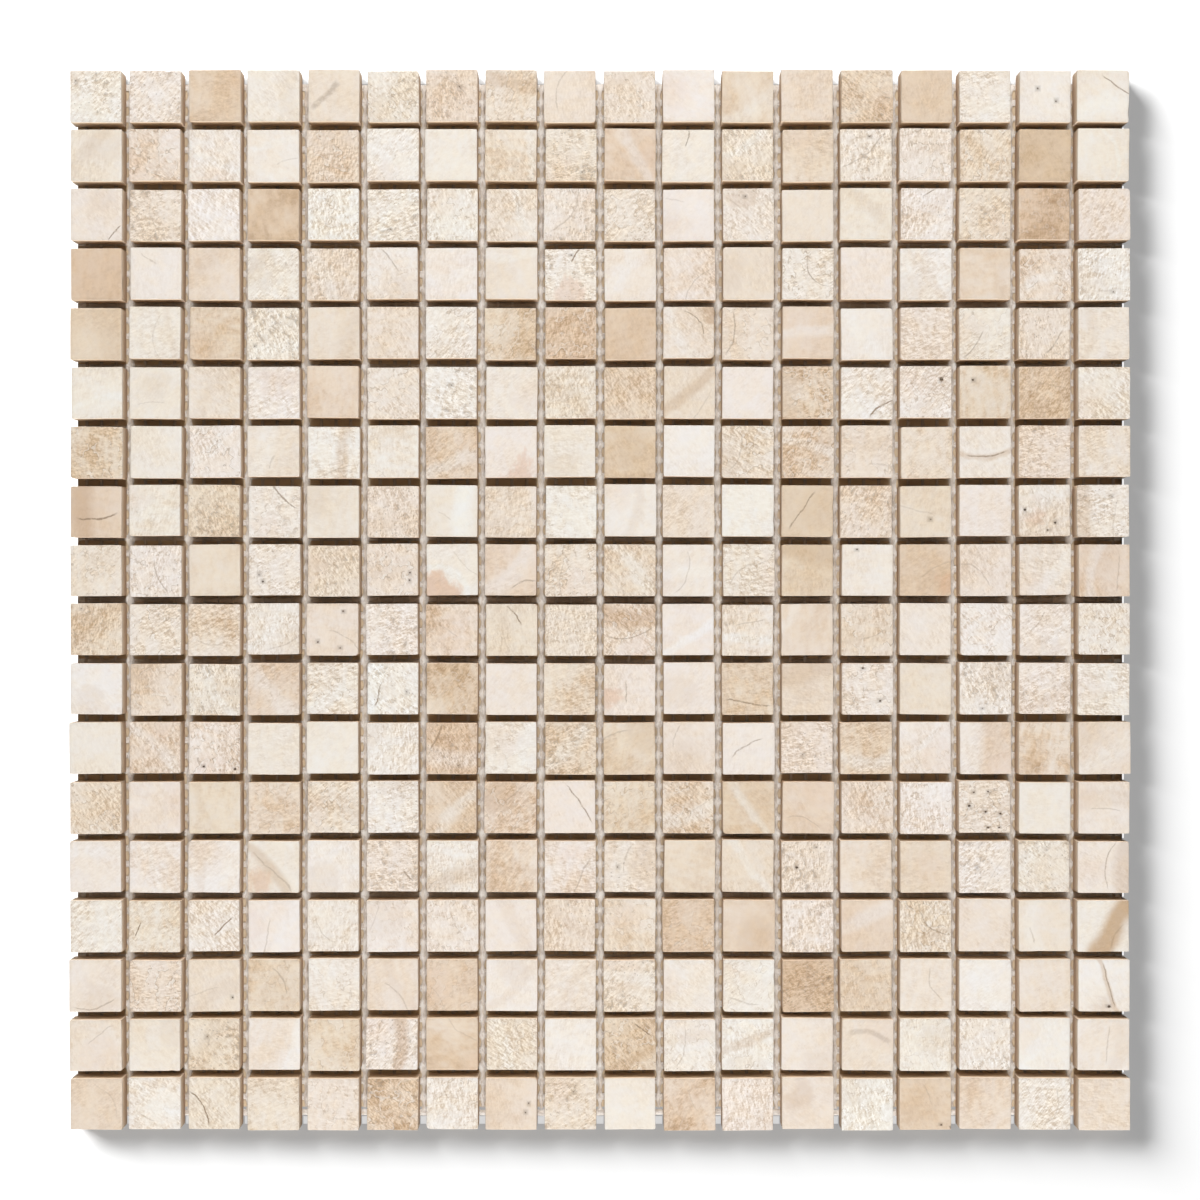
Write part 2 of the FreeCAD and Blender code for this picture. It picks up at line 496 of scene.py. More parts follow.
# Where the chips and strands are, read from the frame
def solidsOf(node):
    # the corner points of each separate solid of a node
    work = bmesh.new()
    work.from_mesh(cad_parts[node].data)
    bmesh.ops.remove_doubles(work, verts=work.verts, dist=1e-6)
    work.verts.ensure_lookup_table()
    seen, solids = set(), []
    for start in work.verts:
        if start.index in seen:
            continue
        stack, members = [start], []
        seen.add(start.index)
        while stack:
            vert = stack.pop()
            members.append(tuple(vert.co))
            for edge in vert.link_edges:
                other = edge.other_vert(vert)
                if other.index not in seen:
                    seen.add(other.index)
                    stack.append(other)
        solids.append(np.array(members))
    work.free()
    return solids


def chipsOf(node):
    # a chip's middle, sides and turn, from the four corners of its underside
    chips = []
    for points in solidsOf(node):
        low = points[:, 2].min()
        corners = points[points[:, 2] < low + 0.1 * mm][:, :2]
        middle = corners.mean(axis=0)
        order = np.argsort(np.arctan2(corners[:, 1] - middle[1], corners[:, 0] - middle[0]))
        a, b, c, _ = corners[order]  # lower left, lower right, upper right
        run = b - a
        chips.append({"middle": middle, "sideX": np.linalg.norm(run), "sideY": np.linalg.norm(c - b),
                      "turn": math.atan2(run[1], run[0]), "low": low, "high": points[:, 2].max()})
    return sorted(chips, key=lambda chip: chip["middle"][0])


# Chips: sawn blocks with broken arrises, made to the frame's own chips
chipShape = {
    "seed": 1000,           # and the number of the row
    "cells": 14,            # along each side of the face
    "footBreak": 0.15 * mm,
    "arris": 0.22 * mm,
    "arrisSwing": 0.10 * mm,
    "arrisWaves": (3, 7, 12, 19),
    "drop": (0.8, 0.3),     # height of the arris as a share of its width, and how much that wanders
    "dropWaves": (2, 9, 17),
    "cornerRound": 0.25 * mm,
    "wornCorner": 0.95 * mm,
    "wornChance": 0.14,
    "biteDepth": 0.60 * mm,
    "biteChance": 0.40,
    "flatRim": 1.1 * mm,
    "bow": 0.05 * mm,
    "bowWaves": (2, 3, 5),
    "spare": 0.08 * mm,     # how far the sides stay inside the frame's chip
    "sharpAngle": 35,
    "slabReach": 90,        # how far off in the slab a chip may be cut, in centimetres
    "slabTurn": 0.3,        # off the quarter turns, in radians
}
pitShape = {
    "lean": 0.25,        # how far a pit may lie off its grid point, in cells
    "jitter": 0.22,
    "inner": 0.74,
    "depth": 0.75,       # of its radius
    "smallest": 0.13 * mm,
    "largest": 0.21 * mm,
    "reach": 0.8,        # how far from the middle of a chip, in half chips
    "placedScale": 0.7,  # of the radius that the table of placed pits gives
    "widest": 0.34,      # of the face's cell
    "lipShade": 0.45,
}


def perimeter(cells):
    # points round a square of half side 1, denser near the corners
    even = np.linspace(-1, 1, cells + 1)
    steps = 0.55 * even + 0.45 * np.sin(even * math.pi / 2)
    ends = np.ones(cells)
    along = steps[:-1]
    x = np.concatenate([along, ends, -along, -ends])
    y = np.concatenate([-ends, along, ends, -along])
    return x, y, steps


def wander(hand, count, waves):
    # a smooth closed random line of values from -1 to 1 round the chip
    angle = np.linspace(0, 2 * math.pi, count, endpoint=False)
    total = np.zeros(count)
    for wave in waves:
        total += hand.uniform(0.3, 1.0) * np.sin(wave * angle + hand.uniform(0, 6.28))
    return total / len(waves)


def chipRings(chip, hand, x, y):
    # closed rings of points from the foot up to the face
    count = len(x)
    halfX, halfY = chip["sideX"] / 2, chip["sideY"] / 2
    deep = chip["high"] - chip["low"]
    arris = chipShape["arris"] + chipShape["arrisSwing"] * wander(hand, count, chipShape["arrisWaves"])
    drop = arris * (chipShape["drop"][0] + chipShape["drop"][1] * wander(hand, count, chipShape["dropWaves"]))
    if hand.random() < chipShape["biteChance"]:
        place = hand.randrange(count)
        away = np.minimum((np.arange(count) - place) % count, (place - np.arange(count)) % count)
        bite = np.exp(-(away / hand.uniform(0.7, 1.6)) ** 2) * chipShape["biteDepth"] * hand.uniform(0.4, 1.0)
        arris = arris + bite
        drop = drop + bite * hand.uniform(0.5, 1.1)
    bow = chipShape["spare"] + chipShape["bow"] * (1 + wander(hand, count, chipShape["bowWaves"]))
    rounds = [chipShape["cornerRound"] * hand.uniform(0.4, 1.3) for _ in range(4)]
    if hand.random() < chipShape["wornChance"]:
        rounds[hand.randrange(4)] = chipShape["wornCorner"] * hand.uniform(0.6, 1.2)

    def ring(inset, z):
        px = x * (halfX - inset)
        py = y * (halfY - inset)
        for corner, (sx, sy) in enumerate(((-1, -1), (1, -1), (1, 1), (-1, 1))):
            r = rounds[corner]
            cx = sx * (halfX - inset - r)
            cy = sy * (halfY - inset - r)
            dx, dy = (px - cx) * sx, (py - cy) * sy
            near = (dx > 0) & (dy > 0)
            reach = np.hypot(dx, dy)
            pull = np.where(near & (reach > r), r / np.maximum(reach, 1e-9), 1.0)
            px = np.where(near, cx + (px - cx) * pull, px)
            py = np.where(near, cy + (py - cy) * pull, py)
        return np.column_stack([px, py, np.broadcast_to(z, px.shape)])

    return [
        ring(bow + chipShape["footBreak"], 0.0),
        ring(bow, chipShape["footBreak"]),
        ring(bow, deep * 0.55),
        ring(bow, deep - drop),
        ring(bow + arris * 0.35, deep - drop * 0.3),
        ring(bow + arris, deep),
    ]


def chipMesh(chip, hand, pits):
    # points in chip axes, faces (foot, sides, arris, flat rim, face grid with its pits) and how deep in a pit
    # each point lies, which the marble paints as shade
    cells = chipShape["cells"]
    across = cells + 1
    x, y, steps = perimeter(cells)
    count = len(x)
    deep = chip["high"] - chip["low"]
    rings = chipRings(chip, hand, x, y)
    gridX = steps * (chip["sideX"] / 2 - chipShape["flatRim"])
    gridY = steps * (chip["sideY"] / 2 - chipShape["flatRim"])
    meshX, meshY = np.meshgrid(gridX, gridY)
    grid = np.column_stack([meshX.ravel(), meshY.ravel(), np.full(meshX.size, deep)])
    gridStart = len(rings) * count

    faces = [list(range(count))[::-1]]
    for level in range(len(rings) - 1):
        base, above = level * count, (level + 1) * count
        for i in range(count):
            j = (i + 1) % count
            faces.append([base + i, base + j, above + j, above + i])
    border = [gridStart + i for i in range(cells)]
    border += [gridStart + i * across + cells for i in range(cells)]
    border += [gridStart + cells * across + cells - i for i in range(cells)]
    border += [gridStart + (cells - i) * across for i in range(cells)]
    last = (len(rings) - 1) * count
    for i in range(count):
        j = (i + 1) % count
        faces.append([last + i, last + j, border[j], border[i]])

    taken, pitPoints, pitShades, shadeOfGrid = set(), [], [], {}
    nextPoint = gridStart + len(grid)
    for pitX, pitY, radius in pits:
        col = int(np.clip(np.abs(gridX - pitX).argmin(), 1, cells - 1))
        row = int(np.clip(np.abs(gridY - pitY).argmin(), 1, cells - 1))
        block = {(row - 1, col - 1), (row - 1, col), (row, col - 1), (row, col)}
        if block & taken:
            continue
        taken |= block
        cellX, cellY = gridX[col + 1] - gridX[col - 1], gridY[row + 1] - gridY[row - 1]
        lean = pitShape["lean"] / 2
        midX = gridX[col] + np.clip(pitX - gridX[col], -lean * cellX, lean * cellX)
        midY = gridY[row] + np.clip(pitY - gridY[row], -lean * cellY, lean * cellY)
        radius = min(radius, pitShape["widest"] * cellX, pitShape["widest"] * cellY)
        outer = [(row - 1, col - 1), (row - 1, col), (row - 1, col + 1), (row, col + 1),
                 (row + 1, col + 1), (row + 1, col), (row + 1, col - 1), (row, col - 1)]
        outer = [gridStart + r * across + c for r, c in outer]
        lip, bowl = [], []
        for k in range(8):
            angle = math.radians(-135 + 45 * k)
            reach = radius * (1 + pitShape["jitter"] * hand.uniform(-1, 1))
            pitPoints.append((midX + reach * math.cos(angle), midY + reach * math.sin(angle), deep))
            pitShades.append(pitShape["lipShade"])
            lip.append(nextPoint + k)
        for k in range(8):
            angle = math.radians(-135 + 45 * k)
            reach = radius * pitShape["inner"]
            pitPoints.append((midX + reach * math.cos(angle), midY + reach * math.sin(angle),
                              deep - radius * pitShape["depth"]))
            pitShades.append(1.0)
            bowl.append(nextPoint + 8 + k)
        nextPoint += 16
        middle = gridStart + row * across + col
        grid[row * across + col] = (midX, midY, deep - radius * pitShape["depth"] * 1.2)
        shadeOfGrid[row * across + col] = 1.0
        for k in range(8):
            n = (k + 1) % 8
            faces.append([outer[k], outer[n], lip[n], lip[k]])
            faces.append([lip[k], lip[n], bowl[n], bowl[k]])
            faces.append([bowl[k], bowl[n], middle])
    for row in range(cells):
        for col in range(cells):
            if (row, col) not in taken:
                a = gridStart + row * across + col
                faces.append([a, a + 1, a + across + 1, a + across])

    points = np.concatenate(rings + [grid] + ([np.array(pitPoints)] if pitPoints else []))
    shade = np.zeros(len(points))
    for index, value in shadeOfGrid.items():
        shade[gridStart + index] = value
    if pitShades:
        shade[gridStart + len(grid):] = pitShades
    return points, faces, shade


# How the chips look. Every chip draws its kind of tone and its kind of texture by chance. A share is how many
# chips in a hundred are of that kind.
chipTones = {  # how far along the marble ramp
    "white": {"share": 7, "tone": (0.02, 0.13)},
    "pale": {"share": 25, "tone": (0.15, 0.27)},
    "plain": {"share": 35, "tone": (0.27, 0.47)},
    "warm": {"share": 20, "tone": (0.48, 0.61)},
    "tan": {"share": 10, "tone": (0.60, 0.71)},
    "brown": {"share": 3, "tone": (0.74, 0.85)},
}
chipTextures = {
    "fine": {"share": 30,
        "cloud": (0.20, 0.40), "mottle": (0.50, 0.95), "pores": (0.00, 0.20), "crackle": (0.00, 0.70)},
    "smooth": {"share": 35,
        "cloud": (0.12, 0.28), "mottle": (0.20, 0.45), "pores": (0.00, 0.08), "crackle": (0.00, 0.10)},
    "speckled": {"share": 15,
        "cloud": (0.15, 0.35), "mottle": (0.95, 1.10), "pores": (0.40, 0.75), "crackle": (0.00, 0.40)},
    "cloudy": {"share": 5,
        "cloud": (0.35, 0.60), "mottle": (0.40, 0.80), "pores": (0.00, 0.20), "crackle": (0.10, 0.50)},
    "crackled": {"share": 15,
        "cloud": (0.20, 0.45), "mottle": (0.75, 1.05), "pores": (0.05, 0.35), "crackle": (0.70, 1.00)},
}
randomMarks = {  # the marks of a chip that has none placed, in half chips; a strength of 0 is no mark
    "bandPlace": 0.7,
    "bandWidth": (0.18, 0.5),
    "bandCurve": 0.3,
    "bandStrength": (0, 0, 0, 0, 0.35, -0.16),
    "veinPlace": 0.6,
    "veinTurn": 0.2,  # off the band's angle, in radians
    "veinHalf": (0.3, 1.0),
    "veinCurve": 0.5,
    "veinStrength": (0, 0, 0, 0, 0, 0, 0.2, 0.3),
    "stainPlace": 1,
    "stainAmount": (0, 0, 0, 0, 0.18, -0.10),
    "grainSlant": (0.6, 1.4),  # radians
}

# Veins, bands, stains and pits placed one by one, as (row, column) from the top left. Places run from -1 to 1
# across a chip, y upwards, and angles in degrees are the way that a vein runs.
placedVeins = {  # x, y, angle, half length, curve, strength, which is below zero for a broad vein
    (1, 5): (-0.35, 0.00, 46, 0.80, 0.0, -0.42), (1, 18): (0.45, 0.35, -35, 0.7, 0.2, 0.8),
    (2, 11): (0.0, 0.65, 80, 0.35, 0.5, 0.7), (2, 14): (0.0, 0.1, 40, 1.2, 0.1, 0.4),
    (3, 1): (0.68, -0.68, 48, 0.40, 0.0, 0.8), (3, 9): (0.1, 0.0, 60, 1.1, 0.3, 0.35),
    (3, 15): (0.1, 0.75, 30, 0.30, 0.0, 0.8), (4, 6): (-0.1, 0.5, -50, 0.6, 0.0, 0.5),
    (4, 9): (0.2, 0.72, 55, 0.34, 0.0, 1.0), (4, 13): (0.1, 0.0, -60, 0.8, 0.6, 0.6),
    (5, 11): (0.45, 0.55, -50, 0.7, -0.7, 0.7), (5, 12): (-0.6, 0.0, 80, 0.9, 0.2, 0.6),
    (5, 16): (-0.45, -0.4, 45, 0.7, 0.0, 0.5), (5, 17): (0.45, -0.4, 50, 0.6, 0.1, 0.5),
    (6, 14): (0.45, -0.45, 42, 0.6, -0.5, 0.95), (7, 12): (-0.3, 0.0, 80, 0.9, 0.4, 0.3),
    (7, 16): (0.05, -0.20, 4, 0.85, 0.25, 0.75), (8, 1): (0.05, -0.24, 4, 0.85, 0.1, 0.85),
    (8, 4): (0.35, 0.55, -42, 0.75, 0.2, 0.75), (8, 13): (-0.17, 0.0, 55, 0.95, 0.0, 0.7),
    (9, 2): (0.1, -0.25, -66, 0.75, 0.3, 0.5), (9, 8): (0.45, -0.42, 15, 0.55, -0.6, 0.5),
    (9, 18): (0.6, -0.1, 82, 0.8, 0.1, 0.3), (10, 8): (0.15, 0.60, -55, 0.5, -0.4, 0.85),
    (10, 10): (0.05, -0.28, 12, 1.0, 0.35, 0.6), (11, 6): (-0.5, -0.25, 78, 0.5, 0.2, 0.8),
    (11, 10): (-0.16, -0.1, 92, 0.45, 0.1, 0.5), (11, 12): (0.0, -0.53, -11, 0.95, 0.0, 0.75),
    (12, 7): (-0.65, 0.45, 61, 0.60, 0.0, 0.65), (12, 12): (-0.1, 0.1, 28, 0.75, -0.3, 0.55),
    (13, 9): (0.34, 0.10, -56, 0.95, 0.0, 0.75), (14, 4): (0.0, -0.15, -44, 1.2, -0.1, 0.35),
    (14, 6): (0.65, -0.35, -40, 0.3, 0.0, 0.7), (14, 9): (0.35, -0.3, 62, 0.8, 0.0, 0.45),
    (14, 18): (0.1, 0.1, 80, 1.0, -0.3, 0.5), (15, 2): (-0.62, -0.10, 72, 0.33, 0.0, 1.0),
    (15, 3): (0.35, 0.0, 42, 0.55, 0.0, 0.95), (15, 15): (0.1, 0.1, -50, 0.9, 0.5, 0.6),
    (16, 1): (0.0, -0.85, 10, 0.9, 0.3, 0.45), (16, 4): (0.3, 0.2, -62, 0.65, -0.4, 0.4),
    (16, 18): (0.15, 0.0, -70, 0.95, 0.0, 0.70), (17, 10): (0.52, 0.60, -34, 0.42, -0.2, 1.0),
    (17, 11): (-0.15, -0.1, 75, 0.9, 0.3, 0.3), (17, 14): (0.1, 0.40, -14, 0.95, -0.2, -0.3),
    (17, 18): (0.15, 0.0, 88, 0.8, 0.0, 0.3), (18, 3): (-0.36, -0.05, -57, 0.85, -0.40, 1.0),
}
placedBands = {  # x, y, angle, half width, curve, strength: white above zero and brown below
    (1, 8): (0.0, 0.5, -6, 0.45, 0.0, -0.45), (1, 12): (0.0, -0.75, 25, 0.45, 0.2, 0.35),
    (2, 8): (0.75, 0.0, 88, 0.20, 0.0, 0.35), (2, 18): (0.55, 0.0, 100, 0.10, 0.4, 0.35),
    (6, 11): (0.0, 0.1, 40, 0.35, 0.0, -0.45), (6, 13): (-0.75, 0.0, 90, 0.85, 0.0, -0.40),
    (7, 3): (0.1, 0.4, 42, 0.30, 0.0, 0.4), (7, 5): (0.30, 0.0, 84, 0.30, 0.0, -0.35),
    (7, 16): (0.1, -0.24, 4, 0.16, 0.25, -0.40), (8, 1): (-0.55, 0.0, 88, 0.55, 0.0, -0.62),
    (8, 7): (0.48, 0.0, 86, 0.50, 0.0, 0.75), (8, 17): (0.35, 0.75, 24, 0.60, 0.0, 0.42),
    (8, 18): (-0.80, 0.0, 92, 0.50, 0.0, -0.40), (9, 7): (0.1, -0.1, -38, 0.22, -0.5, 0.60),
    (9, 11): (0.2, -0.05, 2, 0.30, 0.0, 0.45), (9, 13): (0.0, 0.70, -14, 0.60, 0.0, -0.50),
    (10, 10): (0.0, 0.50, 0, 0.55, 0.2, -0.62), (10, 11): (0.07, -0.30, 30, 0.26, 0.0, 0.75),
    (10, 12): (0.1, -0.35, -4, 0.24, 0.0, 0.55), (11, 6): (-0.80, 0.0, 84, 0.60, 0.0, 0.90),
    (11, 13): (0.0, 0.75, 14, 0.55, 0.0, -0.40), (12, 16): (-0.7, 0.0, 88, 0.70, 0.0, 0.6),
    (14, 4): (-0.05, -0.10, -52, 0.30, -0.15, -0.45), (14, 7): (0.2, -0.3, 24, 0.45, 0.0, -0.35),
    (14, 18): (0.75, 0.0, 84, 0.55, -0.2, -0.40), (15, 18): (0.30, -0.05, 62, 0.56, -0.04, -0.95),
    (16, 13): (-0.4, 0.7, 40, 0.60, 0.0, -0.35), (16, 18): (0.12, -0.05, -68, 0.14, 0.0, -0.45),
    (17, 4): (0.8, -0.2, 70, 0.4, 0.0, 0.6), (17, 6): (0.40, 0.0, 88, 0.34, 0.1, -0.60),
    (17, 10): (0.2, -0.55, 24, 0.30, 0.0, -0.45), (17, 12): (0.1, 0.2, 20, 0.26, 0.0, -0.35),
}
placedStains = {  # x, y, amount: brown above zero and rust below
    (3, 12): (-0.1, 0.85, 0.35), (4, 9): (0.1, -0.9, -0.30), (5, 11): (0.75, 0.9, 0.75),
    (7, 8): (0.3, -0.9, -0.35), (8, 17): (-0.4, -0.2, -0.30), (9, 7): (-0.6, -0.6, -0.50),
    (9, 15): (0.8, -0.4, -0.35), (11, 2): (-0.6, 0.6, 0.40), (11, 10): (-0.85, -0.1, -0.35),
    (12, 10): (0.8, 0.7, 0.30), (13, 8): (-0.3, 0.5, 0.50), (14, 4): (-0.7, -0.5, -0.40),
    (15, 12): (0.5, -0.5, 0.30), (16, 18): (0.05, -1.1, 0.35), (18, 13): (-0.4, 0.1, 0.35),
}
placedPits = {  # x, y, radius
    (1, 17): [(-0.3, 0.3, 0.05), (0.4, -0.2, 0.05)], (3, 12): [(-0.12, 0.70, 0.04)],
    (6, 15): [(0.60, 0.50, 0.15)], (6, 16): [(-0.50, 0.45, 0.06)], (8, 15): [(0.2, -0.3, 0.04)],
    (8, 17): [(-0.75, 0.05, 0.08), (0.40, -0.50, 0.07), (0.1, -0.75, 0.05)],
    (9, 4): [(-0.45, -0.45, 0.06)], (9, 6): [(0.68, -0.12, 0.05), (0.65, -0.40, 0.05)],
    (9, 14): [(-0.40, 0.80, 0.05)], (10, 5): [(0.38, 0.70, 0.05), (-0.55, -0.5, 0.05), (0.3, -0.7, 0.04)],
    (11, 14): [(-0.2, 0.8, 0.06), (0.5, -0.45, 0.06)],
    (12, 3): [(-0.39, -0.72, 0.07), (0.80, -0.80, 0.09)],
    (13, 16): [(-0.38, 0.55, 0.05), (0.13, 0.58, 0.05), (-0.59, 0.06, 0.08), (0.04, -0.2, 0.06),
               (0.60, -0.25, 0.06), (0.13, -0.80, 0.06), (0.55, -0.80, 0.05)],
    (14, 13): [(-0.40, -0.02, 0.08)], (16, 3): [(0.70, -0.45, 0.05)], (16, 18): [(0.20, -0.80, 0.15)],
    (18, 8): [(0.67, 0.04, 0.04), (0.55, -0.32, 0.04)], (18, 15): [(0.60, -0.80, 0.05)],
}


def kindOf(kinds, hand):
    return hand.choices(list(kinds.values()), [kind["share"] for kind in kinds.values()])[0]


def eitherWay(hand, reach):
    return hand.uniform(-reach, reach)


def lookOf(place, hand):
    texture = kindOf(chipTextures, hand)
    tone = kindOf(chipTones, hand)["tone"]
    marks = randomMarks
    angle = math.radians(hand.uniform(0, 180))
    band = (eitherWay(hand, marks["bandPlace"]), eitherWay(hand, marks["bandPlace"]), angle)
    bandForm = (hand.uniform(*marks["bandWidth"]), eitherWay(hand, marks["bandCurve"]),
                hand.choice(marks["bandStrength"]))
    vein = (eitherWay(hand, marks["veinPlace"]), eitherWay(hand, marks["veinPlace"]),
            angle + eitherWay(hand, marks["veinTurn"]))
    veinForm = (hand.uniform(*marks["veinHalf"]), eitherWay(hand, marks["veinCurve"]),
                hand.choice(marks["veinStrength"]))
    stain = (eitherWay(hand, marks["stainPlace"]), eitherWay(hand, marks["stainPlace"]),
             hand.choice(marks["stainAmount"]))
    if place in placedBands:
        x, y, angle, width, curve, strength = placedBands[place]
        band, bandForm = (x, y, math.radians(angle)), (width, curve, strength)
    if place in placedVeins:
        x, y, angle, half, curve, strength = placedVeins[place]
        vein, veinForm = (x, y, math.radians(angle)), (half, curve, strength)
    return {
        "chipTone": (hand.uniform(*tone), hand.uniform(*texture["cloud"]), hand.uniform(*texture["mottle"])),
        "chipMarks": (hand.uniform(*texture["pores"]), hand.uniform(*texture["crackle"]),
                      hand.uniform(*marks["grainSlant"])),
        "chipBand": band,
        "chipBandForm": bandForm,
        "chipLine": vein,
        "chipLineForm": veinForm,
        "chipPatch": placedStains.get(place, stain),
        "chipHue": hand.random(),
    }


def pitsOf(place, chip, look, hand):
    half = chip["sideX"] / 2
    reach = pitShape["reach"]
    pits = [(x * half, y * half, radius * half * pitShape["placedScale"])
            for x, y, radius in placedPits.get(place, [])]
    for _ in range(round(look["chipMarks"][0] * hand.uniform(0, 1.4))):
        pits.append((hand.uniform(-reach, reach) * half, hand.uniform(-reach, reach) * half,
                     hand.uniform(pitShape["smallest"], pitShape["largest"])))
    return pits


def setAttribute(mesh, name, values):
    values = np.asarray(values, dtype=np.float32)
    if values.ndim == 1:
        mesh.attributes.new(name, "FLOAT", "POINT").data.foreach_set("value", values)
    else:
        mesh.attributes.new(name, "FLOAT_VECTOR", "POINT").data.foreach_set("vector", values.ravel())


def makePiece(name, points, faces, material):
    mesh = bpy.data.meshes.new(name)
    mesh.from_pydata([tuple(p) for p in points], [], faces)
    mesh.materials.append(material)
    mesh.update()
    piece = bpy.data.objects.new(name, mesh)
    bpy.context.scene.collection.objects.link(piece)
    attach(piece, "root")
    return piece


def makeTileRow(number, marble):
    node = "tile_row_%02d" % number
    hand = random.Random(chipShape["seed"] + number)
    points, faces, layers = [], [], {}
    start = 0
    for col, chip in enumerate(chipsOf(node), start=1):
        place = (number, col)
        look = lookOf(place, hand)
        local, own, pitShade = chipMesh(chip, hand, pitsOf(place, chip, look, hand))
        c, s = math.cos(chip["turn"]), math.sin(chip["turn"])
        points.append(np.column_stack([local[:, 0] * c - local[:, 1] * s + chip["middle"][0],
                                       local[:, 0] * s + local[:, 1] * c + chip["middle"][1],
                                       local[:, 2] + chip["low"]]))
        faces += [[start + i for i in face] for face in own]
        start += len(local)
        # the chip's place in the slab, in centimetres
        slabTurn, slabReach = chipShape["slabTurn"], chipShape["slabReach"]
        quarter = hand.choice((0, 1, 2, 3)) * math.pi / 2 + hand.uniform(-slabTurn, slabTurn)
        qc, qs = math.cos(quarter), math.sin(quarter)
        home = [hand.uniform(-slabReach, slabReach) for _ in range(3)]
        cm = local * 100
        values = {name: np.full((len(local),) + np.shape(value), value) for name, value in look.items()}
        values["slabPlace"] = np.column_stack([cm[:, 0] * qc - cm[:, 1] * qs + home[0],
                                               cm[:, 0] * qs + cm[:, 1] * qc + home[1], cm[:, 2] + home[2]])
        values["chipPlace"] = local / (chip["sideX"] / 2, chip["sideY"] / 2, chip["high"] - chip["low"])
        values["pitShade"] = pitShade
        for name, part in values.items():
            layers.setdefault(name, []).append(part)
    piece = makePiece("chips_row_%02d" % number, np.concatenate(points), faces, marble)
    for name, parts in layers.items():
        setAttribute(piece.data, name, np.concatenate(parts))
    piece.data.polygons.foreach_set("use_smooth", [True] * len(piece.data.polygons))
    piece.data.set_sharp_from_angle(angle=math.radians(chipShape["sharpAngle"]))
    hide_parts(node)


# Backing mesh: twisted warp pairs over and under flat weft bands
netShape = {
    "warpSeed": 71,
    "weftSeed": 67,
    "warpYarn": (0.84 * mm, 0.15 * mm),  # width and thickness
    "bareYarn": 1.12 * mm,      # width of the yarn that shows in a joint
    "bareWithin": 0.1,          # how near the middle of a joint such yarn lies, in joint pitches
    "warpSway": 0.20 * mm,
    "bareSway": 0.18 * mm,
    "warpDrift": (0.06 * mm, 40),   # how far a strand wanders, and the radians of its wave in a metre
    "warpSwell": (0.10, 900),       # the same for the width, as a share of it
    "bead": 0.28,               # swell of the bare yarn over each weft band
    "knot": 0.80,               # its swell where two joints cross
    "knotReach": 1.4 * mm,
    "warpHigh": (0.42 * mm, -0.05 * mm),  # over the weft: height, and what is added between two bands
    "warpLow": (0.08 * mm, 0.08 * mm),
    "warpRings": (2, 6),        # rings from one weft band to the next, under the chips and in a joint
    "weftThick": 0.20 * mm,
    "weftHeight": 0.25 * mm,
    "weftStep": 1.42 * mm,
    "weftDrift": (0.10 * mm, 60),
    "weftSwell": (0.08, 500),
    "weftShare": 0.88,          # of the frame's strand
    "twist": 4.5 * mm,          # the yarn's marks repeat along it at about this length
    "frayed": 0.5 * mm,
    "jointPitch": 17 * mm,      # from one open joint to the next
    "bareEnd": 3.0 * mm,
    "bottomEnd": (1.5 * mm, 3.0 * mm),  # how far the warp stops short at the foot of the sheet
    "bareSoaked": (0, 0.14),    # glue in the bare yarn, and what is added between bands and at a knot
    "bandSoaked": 0.38,
    "knotSoaked": -0.1,
    "warpSoaked": (0.60, 0.80),  # glue under the chips
    "weftSoaked": (0.60, 0.85),
    "weftBared": 0.8,           # the share of it that is missing in a joint
}


def sweep(path, widths, thick, flatWay):
    # a flat yarn of six-sided section along a path; flatWay is the direction of its width
    section = ((1, 0), (0.5, 1), (-0.5, 1), (-1, 0), (-0.5, -1), (0.5, -1))
    rings = len(path)
    points = np.zeros((rings, 6, 3))
    for k, (w, t) in enumerate(section):
        points[:, k] = path
        points[:, k] += np.outer(widths / 2 * w, flatWay)
        points[:, k, 2] += thick / 2 * t
    faces = [[0, 1, 2, 3, 4, 5][::-1]]
    for i in range(rings - 1):
        for k in range(6):
            n = (k + 1) % 6
            faces.append([i * 6 + k, i * 6 + n, (i + 1) * 6 + n, (i + 1) * 6 + k])
    faces.append([(rings - 1) * 6 + k for k in range(6)])
    return points.reshape(-1, 3), faces


def addYarn(store, path, widths, thick, flatWay, lengthWise, soaked, hand):
    points, faces = sweep(path, widths, thick, flatWay)
    if flatWay[0] > 0:
        faces = [face[::-1] for face in faces]
    store["faces"] += [[store["count"] + i for i in face] for face in faces]
    store["count"] += len(points)
    store["points"].append(points)
    other = 1 - lengthWise
    along = points[:, lengthWise] / netShape["twist"]
    cross = (points[:, other] - path[0][other]) / mm
    store["places"].append(np.column_stack([along, cross, np.full(len(along), hand.uniform(0, 60))]))
    store["soaked"].append(np.repeat(np.broadcast_to(soaked, len(path)), 6))


def offJoint(place):
    # how far off the middle of the nearest joint, in joint pitches
    return place / netShape["jointPitch"] - np.round(place / netShape["jointPitch"])


def waveAlong(place, wave, hand):
    reach, pace = wave
    return reach * np.sin(place * pace + hand.uniform(0, 6.28))


def newStore():
    return {"points": [], "faces": [], "count": 0, "places": [], "soaked": []}


def yarnPiece(name, store, yarn):
    piece = makePiece(name, np.concatenate(store["points"]), store["faces"], yarn)
    setAttribute(piece.data, "yarnPlace", np.concatenate(store["places"]))
    setAttribute(piece.data, "yarnSoaked", np.concatenate(store["soaked"]))
    return piece


